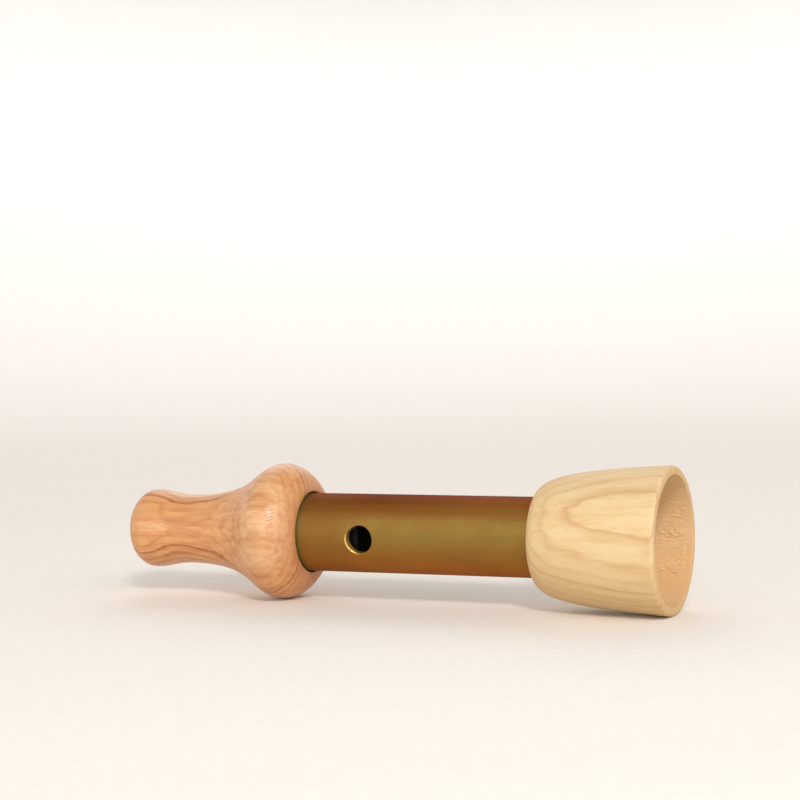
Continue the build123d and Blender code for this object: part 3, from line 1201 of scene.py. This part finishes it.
# %% Lay out the tube
COLUMNS = 144
PATCH_CELLS = 24
HALF_PATCH = PATCH_CELLS // 2
ROW_STEP = 0.7
PATCH_LENGTH = math.tau * PATCH_CELLS / COLUMNS * TUBE_R
columns = range(-HALF_PATCH, COLUMNS - HALF_PATCH)
window_station = station(WINDOW_X)
window_heading = math.pi + WINDOW_DROOP

patch_first = window_station - PATCH_LENGTH / 2
patch_last = window_station + PATCH_LENGTH / 2
tube_rows = [p.x for p in straight_run(ROW_STEP, (TUBE_START, 0.0), (patch_first, 0.0))]
patch_rows = range(len(tube_rows), len(tube_rows) + PATCH_CELLS + 1)
tube_rows += [patch_first + PATCH_LENGTH * i / PATCH_CELLS for i in range(PATCH_CELLS)]
tube_rows += [p.x for p in straight_run(ROW_STEP, (patch_last, 0.0), (TUBE_END, 0.0))] + [TUBE_END]

border = [(patch_rows[-1], column) for column in range(-HALF_PATCH, HALF_PATCH)]
border += [(row, HALF_PATCH) for row in range(patch_rows[-1], patch_rows[0], -1)]
border += [(patch_rows[0], column) for column in range(HALF_PATCH, -HALF_PATCH, -1)]
border += [(row, -HALF_PATCH) for row in range(patch_rows[0], patch_rows[-1])]
spokes = []
for row, column in border:
    along = tube_rows[row] - window_station
    angle = math.tau * column / COLUMNS
    spokes.append((along, angle, math.atan2(angle * TUBE_R, along)))
print(f"tube: {len(tube_rows)} rows, {COLUMNS} columns, {len(spokes)} points around the patch")

# %% [markdown]
# Each wall, outside and bore, is a grid of faces without the patch. A ring of points lies a share of the
# way along the spokes, from the patch's border to a round hole. The rings come closer together towards the
# hole, where the wall's shine bends most.

# %% Walls with a hole
RING_LEVELS = 12
RING_CROWDING = 1.4


def on_wall(along, angle, radius):
    """A point at a station, at an angle from the window's middle and at a radius, in metres."""
    side = radius * math.cos(window_heading + angle)
    rise = radius * math.sin(window_heading + angle)
    return Vector((MOUTH_X + along * MM, side * MM, AXIS_Z + rise * MM))


def next_column(column):
    """The column after a column, round the tube."""
    return column + 1 if column + 1 in columns else -HALF_PATCH


def wall_grid(shell, radius):
    """A wall of the tube without its patch, and its points by row and column."""
    points = {}
    for row, along in enumerate(tube_rows):
        for column in columns:
            if not (patch_rows[0] < row < patch_rows[-1] and -HALF_PATCH < column < HALF_PATCH):
                spot = on_wall(along, math.tau * column / COLUMNS, radius)
                points[row, column] = shell.verts.new(spot)
    for row in range(len(tube_rows) - 1):
        for column in columns:
            if not (row in patch_rows[:-1] and -HALF_PATCH <= column < HALF_PATCH):
                step = next_column(column)
                corners = ((row, column), (row, step), (row + 1, step), (row + 1, column))
                shell.faces.new([points[corner] for corner in corners])
    return points


def ring_at(shell, reach, radius, share=1.0):
    """A ring of points on a wall, a share of the way from the patch's border to a hole."""
    ring = []
    for along, angle, heading in spokes:
        to_along = reach * math.cos(heading) - along
        to_angle = math.asin(reach * math.sin(heading) / radius) - angle
        spot = on_wall(window_station + along + to_along * share, angle + to_angle * share, radius)
        ring.append(shell.verts.new(spot))
    return ring


def bridge(shell, first, second):
    """A band of faces between two rings of points."""
    for index in range(len(first)):
        follow = (index + 1) % len(first)
        shell.faces.new([first[index], first[follow], second[follow], second[index]])


def wall_with_hole(shell, radius, hole_radius):
    """A wall of the tube: its points by row and column, and its ring of points at the hole."""
    points = wall_grid(shell, radius)
    outer = [points[place] for place in border]
    for level in range(1, RING_LEVELS + 1):
        share = 1 - (1 - level / RING_LEVELS) ** RING_CROWDING
        ring = ring_at(shell, hole_radius, radius, share)
        bridge(shell, outer, ring)
        outer = ring
    return points, outer


print("tube: helpers ready")

# %% [markdown]
# More rings go over the rounded, deburred edge and straight through the wall, and two bands of faces close
# the tube's ends. The result is one closed shell whose sharp edges are only at those ends.

# %% Build the tube
EDGE_LEVELS = 6
WALL_LEVELS = 4
SEAM_ANGLE = math.radians(40.0)


def edge_levels():
    """Steps through the window: how much wider than the hole, and how deep under the outside."""
    turns = [math.pi / 2 * i / EDGE_LEVELS for i in range(1, EDGE_LEVELS + 1)]
    levels = [(WINDOW_DEBURR * (1 - math.sin(t)), WINDOW_DEBURR * (1 - math.cos(t))) for t in turns]
    straight = TUBE_R - BORE_R - WINDOW_DEBURR
    return levels + [(0.0, WINDOW_DEBURR + straight * i / WALL_LEVELS) for i in range(1, WALL_LEVELS)]


def build_tube():
    """The tube as one closed mesh, with the window laid into its wall."""
    shell = bmesh.new()
    outside, edge = wall_with_hole(shell, TUBE_R, WINDOW_R + WINDOW_DEBURR)
    inside, inside_hole = wall_with_hole(shell, BORE_R, WINDOW_R)
    for wider, deeper in edge_levels():
        ring = ring_at(shell, WINDOW_R + wider, TUBE_R - deeper)
        bridge(shell, edge, ring)
        edge = ring
    bridge(shell, edge, inside_hole)
    for row in (0, len(tube_rows) - 1):
        bridge(shell, [outside[row, c] for c in columns], [inside[row, c] for c in columns])
    bmesh.ops.recalc_face_normals(shell, faces=shell.faces)
    for face in shell.faces:
        face.smooth = True
    for seam in shell.edges:
        seam.smooth = seam.calc_face_angle(0.0) < SEAM_ANGLE
    mesh = bpy.data.meshes.new("tube_drawn")
    shell.to_mesh(mesh)
    shell.free()
    mesh.materials.append(aged_brass)
    return put_in_scene("tube_drawn", mesh)


tube = build_tube()
measure(tube)

# %% [markdown]
# ## Joining the frame
# Each new piece stands for one imported solid, hides it and rides with the single body.

# %% Put the pieces on the frame
for piece, node, slot in (
    (mouthpiece, "mouthpiece", "mouthpiece_wood"),
    (tube, "tube", "aged_brass"),
    (bell, "bell", "bell_wood"),
):
    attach(piece, "root")
    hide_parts(node)
    print(piece.name, "stands for", node)

# %% [markdown]
# ## Floor, light and camera
# The call lies on its bulge and its rim, which differ a little in size, so the floor is tipped by a third
# of a degree to touch both. The floor is a round sheet of pale paper that sweeps up into a wall all round,
# so that no horizon shows from any side. Its sizes are in metres.

# %% Floor
FLOOR_R = 0.55
SWEEP_R = 1.2
WALL_TOP = 1.5
SWEEP_STEPS = 24
ROUND_STEPS = 96
WELD_REACH = 1e-5
bulge_x = MOUTH_X + BULGE[0] * MM
rim_x = MOUTH_X + (CALL_LENGTH - RIM_ROUND) * MM
floor_fall = (RIM_R - BULGE_R) * MM / (rim_x - bulge_x)

sweep = [(0.0, 0.0), (FLOOR_R / 3, 0.0)]
for step in range(SWEEP_STEPS + 1):
    bend = math.pi / 2 * step / SWEEP_STEPS
    sweep.append((FLOOR_R + SWEEP_R * math.sin(bend), SWEEP_R * (1 - math.cos(bend))))
sweep.append((FLOOR_R + SWEEP_R, WALL_TOP))
paper = bmesh.new()
line = [paper.verts.new((reach, 0.0, height)) for reach, height in sweep]
runs = [paper.edges.new(pair) for pair in zip(line, line[1:])]
bmesh.ops.spin(paper, geom=line + runs, cent=(0, 0, 0), axis=(0, 0, 1), angle=math.tau, steps=ROUND_STEPS)
bmesh.ops.remove_doubles(paper, verts=paper.verts, dist=WELD_REACH)
bmesh.ops.recalc_face_normals(paper, faces=paper.faces)
for corner in paper.verts:
    corner.co.z += (rim_x - corner.co.x) * floor_fall
for face in paper.faces:
    face.smooth = True
    if face.normal.dot(Vector((0, 0, 1)) - face.calc_center_median()) < 0:
        face.normal_flip()
floor_mesh = bpy.data.meshes.new("floor")
paper.to_mesh(floor_mesh)
paper.free()
floor = put_in_scene("floor", floor_mesh)
print(f"floor tipped by {math.degrees(math.atan(floor_fall)):.2f} degrees")

# %% [markdown]
# The paper is matt and almost white. The lamps stand near the call, so the far paper would turn grey. A
# faint glow that grows with the distance keeps the background as pale as the floor beside the call.

# %% Paper
GLOW_START = 0.3
GLOW_END = 1.5
PAPER_GLOW = 0.34
PAPER_PER_MM = (0.5, 0.5, 0.5)
paper_finish, tree, shader, place = new_finish("floor_paper")
flecks = stretched(tree, place, PAPER_PER_MM, detail=4.0)
paper_tone = mix(tree, between(tree, flecks, 0.3, 0.7), tone(237, 232, 226), tone(240, 235, 229))
tree.links.new(paper_tone, shader.inputs["Base Color"])
shader.inputs["Roughness"].default_value = 0.85
glow = vector_calc(tree, "LENGTH", place)
glow = between(tree, glow, GLOW_START / MM, GLOW_END / MM, 0.0, PAPER_GLOW)
tree.links.new(glow, shader.inputs["Emission Strength"])
shader.inputs["Emission Color"].default_value = tone(250, 251, 255)
floor_mesh.materials.append(paper_finish)
print("paper:", paper_finish.name)

# %% [markdown]
# A pale sky gives the even light of a bright room. A small key lamp, high on the window's side, leaves a
# clear highlight on the polished bulge. A large fill lamp near the floor lifts the shade below, a third
# lamp looks into the bell, and one from behind keeps the back readable. Headings are in degrees, counted
# from -Y towards +X, and sizes and distances in metres.

# %% World and lights
world = bpy.data.worlds.new("studio")
SCENE.world = world
world.use_nodes = True
backdrop = world.node_tree.nodes["Background"]
backdrop.inputs["Color"].default_value = tone(250, 248, 245)
backdrop.inputs["Strength"].default_value = 0.35
middle = Vector((0.0, 0.0, AXIS_Z))


def soft_light(name, heading, elevation, distance, size, power, colour):
    """A square soft light at a heading and an elevation from the call, facing it."""
    light = bpy.data.lights.new(name, "AREA")
    light.size = size
    light.energy = power
    light.color = colour
    lamp = put_in_scene(name, light)
    turn, lift = math.radians(heading), math.radians(elevation)
    away = Vector((math.sin(turn) * math.cos(lift), -math.cos(turn) * math.cos(lift), math.sin(lift)))
    lamp.location = middle + away * distance
    lamp.rotation_euler = away.to_track_quat("Z", "Y").to_euler()
    print(f"{name} light: {power} W")


soft_light("key", 30.0, 34.0, distance=1.0, size=0.17, power=4.5, colour=(1.0, 0.97, 0.93))
soft_light("fill", 4.0, 5.0, distance=1.1, size=0.8, power=4.8, colour=(1.0, 0.98, 0.95))
soft_light("mouth", 64.0, 30.0, distance=0.9, size=0.4, power=0.9, colour=(1.0, 0.97, 0.93))
soft_light("back", 200.0, 40.0, distance=1.2, size=0.8, power=3.0, colour=(1.0, 0.98, 0.96))

# %% [markdown]
# The camera stands on the window's side, nearer to the bell's end so that the bowl can be seen, and looks
# slightly down. A long lens from less than half a metre keeps the call's proportions. The camera is placed
# by its position and two directions, because these say more plainly than angles where it looks.

# %% Camera
LENS_MM = 97.02
SENSOR_MM = 36.0
NEAREST = 0.01
CAMERA_MM = (178.045, -396.302, 66.556)
CAMERA_FORWARD = (-0.40489, 0.91257, -0.05738)
CAMERA_UP = (0.00129, 0.06332, 0.99799)
camera_data = bpy.data.cameras.new("camera")
camera_data.lens = LENS_MM
camera_data.sensor_width = SENSOR_MM
camera_data.clip_start = NEAREST
camera = put_in_scene("camera", camera_data)
forward = Vector(CAMERA_FORWARD).normalized()
right = forward.cross(Vector(CAMERA_UP)).normalized()
turn = Matrix((right, right.cross(forward), -forward)).transposed().to_4x4()
camera.matrix_world = Matrix.Translation(Vector(CAMERA_MM) * MM) @ turn
SCENE.camera = camera
SCENE.view_settings.view_transform = "Standard"
print("camera at", [round(value, 3) for value in camera.matrix_world.translation])
